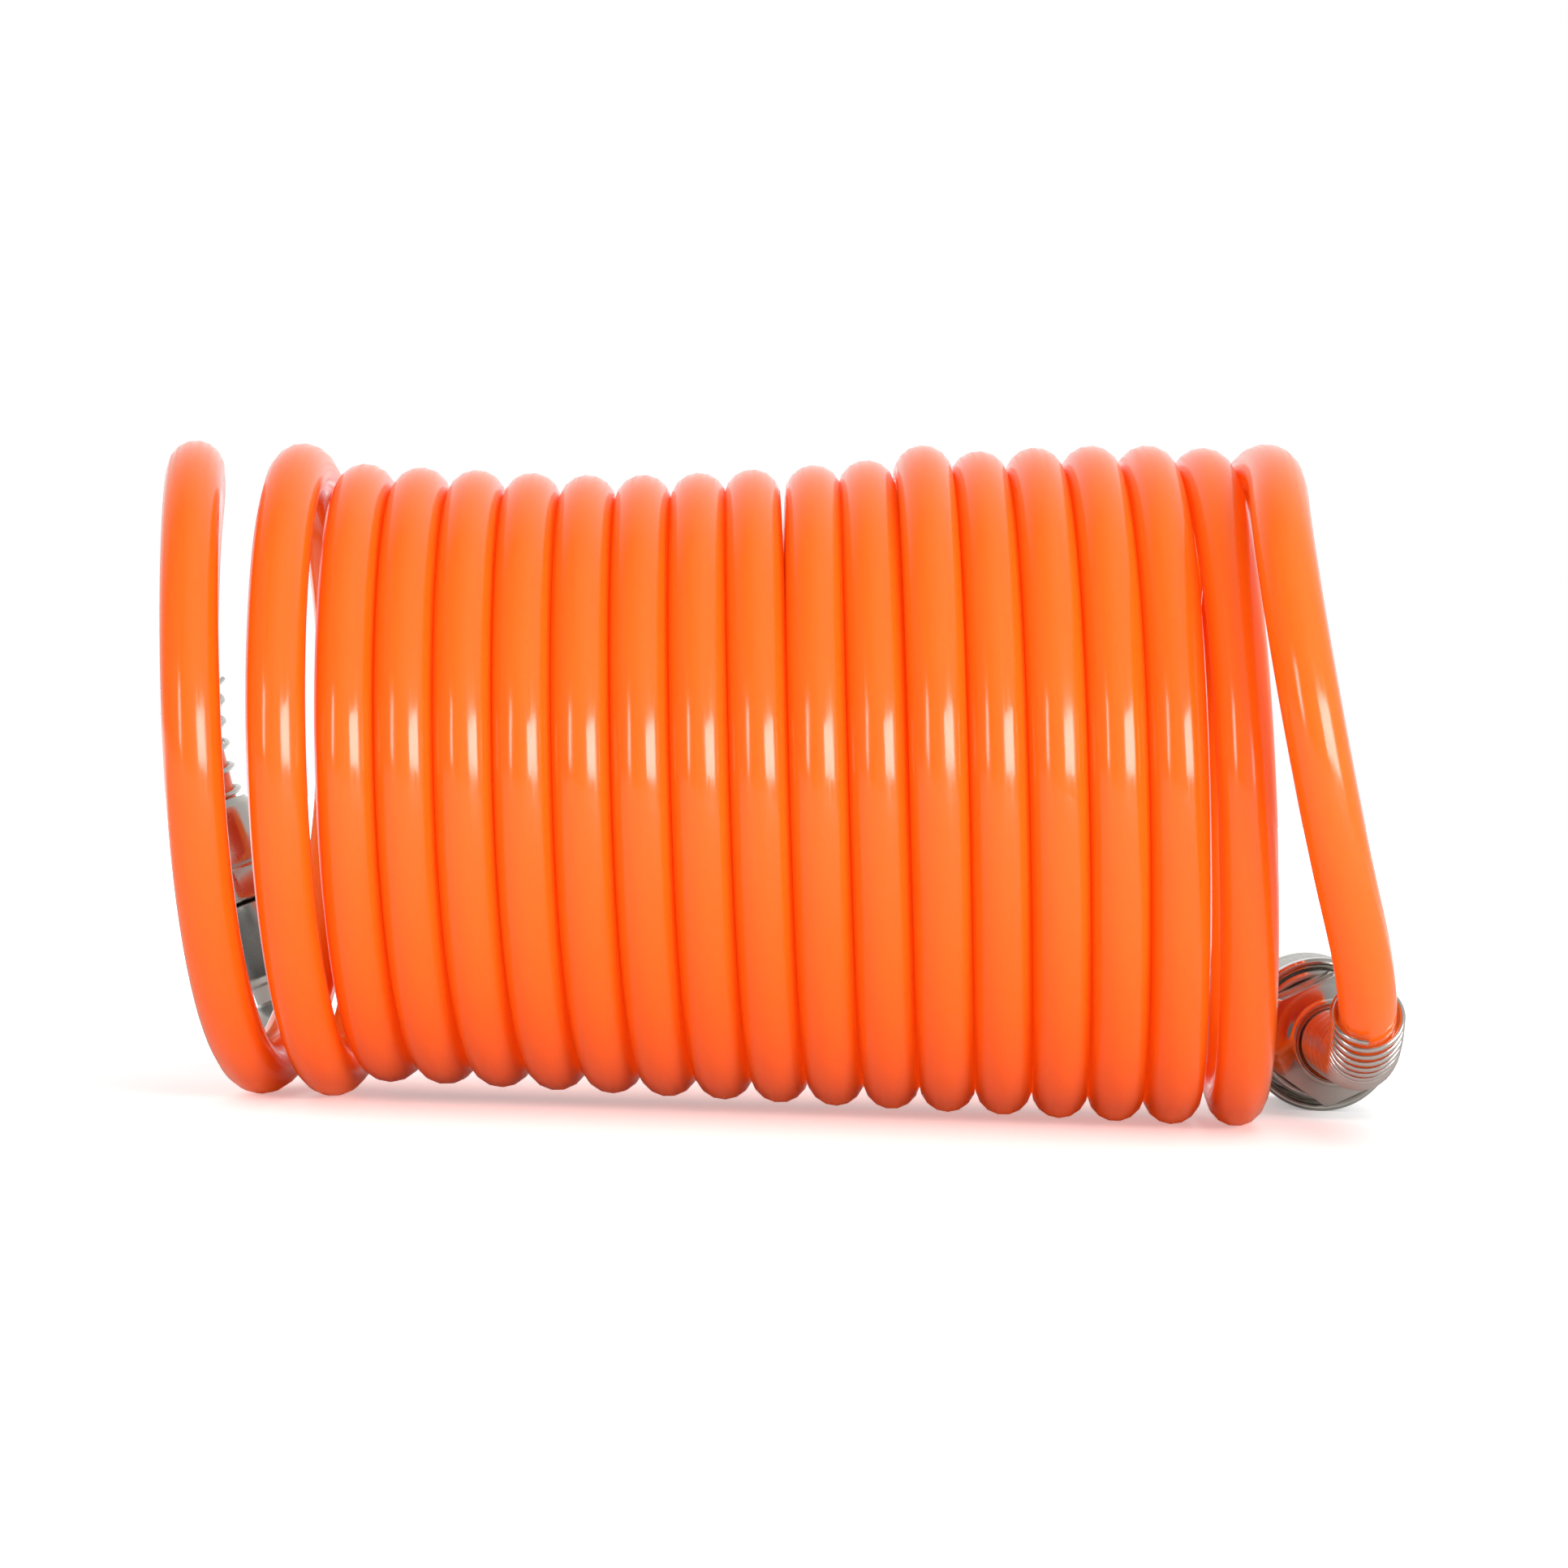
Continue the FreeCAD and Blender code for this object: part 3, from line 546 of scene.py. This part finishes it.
def smooth_copy(source, body, material):
    """A copy of a turned piece with its faces joined, smooth but for its real edges."""
    mesh = bpy.data.objects[source].data.copy()
    shape = bmesh.new()
    shape.from_mesh(mesh)
    bmesh.ops.remove_doubles(shape, verts=shape.verts, dist=SAME_PLACE)
    shape.to_mesh(mesh)
    shape.free()
    for face in mesh.polygons:
        face.use_smooth = True
    mesh.set_sharp_from_angle(angle=REAL_EDGE)
    piece = bpy.data.objects.new(source + "_finished", mesh)
    bpy.context.scene.collection.objects.link(piece)
    finish_with(material, piece)
    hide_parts(source)
    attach(piece, body)
    return piece


finish_with(polyurethane, hose)
finish_with(wire, coupler_guard, plug_guard)
for source in ("coupler_nut", "coupler_adapter", "coupler_body"):
    smooth_copy(source, "hose", coupler_nickel)
smooth_copy("release_sleeve", "sleeve", coupler_nickel)
plug_parts = [smooth_copy(source, "hose", plug_nickel) for source in ("plug_nut", "plug_body")]
smooth_copy("valve_poppet", "valve", brass)
for side in ("right", "bottom", "left", "top"):
    smooth_copy("locking_ball_" + side, "ball_" + side, steel)
finish_with(rubber, "adapter_seal", "socket_seal", "valve_seal")
finish_with(steel, "sleeve_spring", "valve_spring", "sleeve_spring_washer", "sleeve_retaining_ring")


# Floor
FLOOR_REACH_M = 6.0


def floor_surface():
    """White card that keeps the object's shadow.

    The camera sees it lit up to plain white away from the object, and metal sees it white behind the
    object and a little grey elsewhere.
    """
    material, tree, shader = surface("white_card")
    rays = node(tree, "ShaderNodeLightPath")
    card = node(
        tree,
        "ShaderNodeMix",
        {"A": linear("#FAFAFA"), "B": linear("#C8C8C8")},
        {"Factor": rays.outputs["Is Glossy Ray"]},
        data_type="RGBA",
    )
    tree.links.new(card.outputs["Result"], shader.inputs["Base Color"])
    shader.inputs["Roughness"].default_value = 0.9
    place = node(tree, "ShaderNodeTexCoord").outputs["Object"]
    away = node(tree, "ShaderNodeVectorMath", links={0: place}, operation="LENGTH")
    near = node(
        tree,
        "ShaderNodeMapRange",
        {"From Min": 0.12, "From Max": 0.5, "To Min": 0.35},
        {"Value": away.outputs["Value"]},
    )
    behind = node(tree, "ShaderNodeSeparateXYZ", links={"Vector": place})
    far = node(
        tree,
        "ShaderNodeMapRange",
        {"From Min": 0.15, "From Max": 0.6},
        {"Value": behind.outputs["Y"]},
    )
    mirrored = node(
        tree,
        "ShaderNodeMath",
        links={0: rays.outputs["Is Glossy Ray"], 1: rays.outputs["Is Transmission Ray"]},
        operation="MAXIMUM",
    )
    seen = []
    for amount, ray in (
        (near.outputs["Result"], rays.outputs["Is Camera Ray"]),
        (far.outputs["Result"], mirrored.outputs["Value"]),
    ):
        seen.append(node(tree, "ShaderNodeMath", links={0: amount, 1: ray}, operation="MULTIPLY"))
    strength = node(
        tree,
        "ShaderNodeMath",
        links={0: seen[0].outputs["Value"], 1: seen[1].outputs["Value"]},
        operation="MAXIMUM",
    )
    glow = node(
        tree,
        "ShaderNodeEmission",
        {"Color": linear("#FFFFFF")},
        {"Strength": strength.outputs["Value"]},
    )
    added = node(
        tree,
        "ShaderNodeAddShader",
        links={0: shader.outputs["BSDF"], 1: glow.outputs["Emission"]},
    )
    tree.links.new(added.outputs["Shader"], tree.get_output_node("ALL").inputs["Surface"])
    return material


floor_mesh = bpy.data.meshes.new("floor")
floor_shape = bmesh.new()
bmesh.ops.create_grid(floor_shape, x_segments=1, y_segments=1, size=FLOOR_REACH_M)
floor_shape.to_mesh(floor_mesh)
floor_shape.free()
floor = bpy.data.objects.new("floor", floor_mesh)
bpy.context.scene.collection.objects.link(floor)
finish_with(floor_surface(), floor)

# Light
COIL_MIDDLE_M = Vector((0.0, 0.0, 0.05))


def softbox(name, azimuth, elevation, distance, width, height, power, gleam):
    """A soft lamp that looks at the coil's middle; azimuth 0 is the camera's side.

    Angles are in degrees, sizes in metres. The gleam is the power that only its reflections get.
    """
    round_by, up_by = math.radians(azimuth), math.radians(elevation)
    level = math.cos(up_by)
    way = Vector((math.sin(round_by) * level, -math.cos(round_by) * level, math.sin(up_by)))
    for ending, energy in (("", power), ("_gleam", gleam)):
        data = bpy.data.lights.new(name + ending, "AREA")
        data.shape = "RECTANGLE"
        data.size = width
        data.size_y = height
        data.energy = energy
        lamp = bpy.data.objects.new(name + ending, data)
        lamp.location = COIL_MIDDLE_M + way * distance
        lamp.rotation_mode = "QUATERNION"
        lamp.rotation_quaternion = way.to_track_quat("Z", "Y")
        lamp.visible_diffuse = not ending
        bpy.context.scene.collection.objects.link(lamp)


softbox(
    "key_box", azimuth=42, elevation=13.5, distance=1.4, width=0.9, height=0.44, power=11.5, gleam=6.5
)
softbox(
    "side_strip", azimuth=-40, elevation=13, distance=1.5, width=0.2, height=0.5, power=1.8, gleam=3.4
)


def studio():
    """White all round to the camera; metal sees it white behind the object and dim on the camera's side."""
    world = bpy.data.worlds.new("studio")
    bpy.context.scene.world = world
    world.use_nodes = True
    sky = world.node_tree
    sky.nodes.clear()
    rays = node(sky, "ShaderNodeLightPath")
    way = node(
        sky,
        "ShaderNodeSeparateXYZ",
        links={"Vector": node(sky, "ShaderNodeTexCoord").outputs["Generated"]},
    )
    sideways = node(
        sky,
        "ShaderNodeMapRange",
        {"From Min": -0.4, "From Max": 0.3, "To Min": 0.15, "To Max": 0.6},
        {"Value": way.outputs["X"]},
    )
    room = node(
        sky,
        "ShaderNodeMapRange",
        {"From Min": 0.2},
        {"Value": way.outputs["Y"], "To Min": sideways.outputs["Result"]},
    )
    overhead = node(
        sky,
        "ShaderNodeMapRange",
        {"To Min": 0.85},
        {"Value": way.outputs["Z"]},
    )
    mirrored = node(
        sky,
        "ShaderNodeMix",
        links={
            "Factor": rays.outputs["Is Glossy Ray"],
            "A": overhead.outputs["Result"],
            "B": room.outputs["Result"],
        },
    )
    plain = node(
        sky,
        "ShaderNodeMath",
        links={0: rays.outputs["Is Camera Ray"], 1: rays.outputs["Is Transmission Ray"]},
        operation="MAXIMUM",
    )
    strength = node(
        sky,
        "ShaderNodeMix",
        {"B": 1.0},
        {"Factor": plain.outputs["Value"], "A": mirrored.outputs["Result"]},
    )
    light = node(
        sky,
        "ShaderNodeBackground",
        {"Color": linear("#FFFFFF")},
        {"Strength": strength.outputs["Result"]},
    )
    node(sky, "ShaderNodeOutputWorld", links={"Surface": light.outputs["Background"]})


studio()

# Camera: its place in metres, its angles in radians, and its lens in pixels of the photograph
EYE_M = Vector((0.01798, -0.63982, 0.05009))
EYE_TURN = -0.0225
EYE_NOD = -0.0009
EYE_ROLL = 0.0315
LENS_PIXELS = 5160.0
PHOTO_PIXELS = 1932.0
SENSOR_MM = 36.0


def tilted(a, b, angle):
    """Two square directions, turned in their own plane from the first towards the second."""
    return a * math.cos(angle) + b * math.sin(angle), b * math.cos(angle) - a * math.sin(angle)


def camera():
    """The photograph's view: level, from in front, a long lens, held with a small roll."""
    right = Vector((math.cos(EYE_TURN), -math.sin(EYE_TURN), 0.0))
    ahead = Vector((math.sin(EYE_TURN), math.cos(EYE_TURN), 0.0))
    ahead, up = tilted(ahead, Vector((0.0, 0.0, 1.0)), EYE_NOD)
    right, up = tilted(right, up, EYE_ROLL)
    data = bpy.data.cameras.new("camera")
    data.sensor_width = SENSOR_MM
    data.lens = SENSOR_MM * LENS_PIXELS / PHOTO_PIXELS
    eye = bpy.data.objects.new("camera", data)
    facing = Matrix((right, up, -ahead)).transposed()
    eye.matrix_world = Matrix.Translation(EYE_M) @ facing.to_4x4()
    bpy.context.scene.collection.objects.link(eye)
    bpy.context.scene.camera = eye


camera()
bpy.context.scene.view_settings.view_transform = "Standard"
